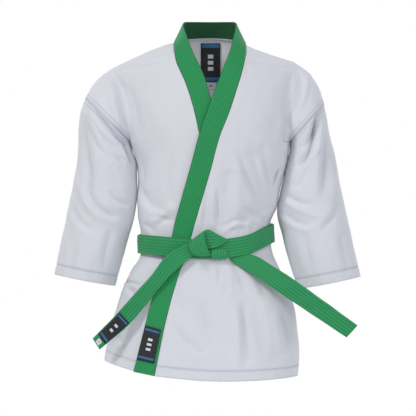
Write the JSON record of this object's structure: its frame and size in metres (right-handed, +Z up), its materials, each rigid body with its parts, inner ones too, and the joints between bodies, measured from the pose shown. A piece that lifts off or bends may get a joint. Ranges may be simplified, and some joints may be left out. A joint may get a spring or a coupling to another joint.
{
  "type": "tang soo do jacket with belt",
  "caption": "White wrap jacket of a tang soo do uniform with a green stitched collar band and a tied green belt, filled out as if worn",
  "frame": {"origin": "in the middle between the two points where the shoulder seams meet the collar, in the plane of the shoulder seams, where the jacket is held", "axes": "+Z up to the collar, -Y out of the chest, +X towards the wearer's left"},
  "size_m": [0.686, 0.2563, 0.8024],
  "materials": {
    "white_cloth": "matte woven cotton",
    "green_band": "matte cotton, quilted with close rows of stitching",
    "green_belt": "matte cotton, stitched lengthwise",
    "label_black": "smooth woven label"
  },
  "bodies": {
    "root": {"front_left": "white_cloth", "front_right": "white_cloth", "back": "white_cloth", "sleeve_left": "white_cloth", "sleeve_right": "white_cloth", "collar_band": "green_band", "belt_waist": "green_belt", "belt_end_left": "green_belt", "belt_end_right": "green_belt", "knot_front": "green_belt", "knot_loop": "green_belt", "knot_tongue": "green_belt", "label_neck": "label_black", "label_size": "white_cloth", "label_lapel": "label_black", "label_belt": "label_black", "label_tag": "white_cloth"}
  },
  "joints": []
}
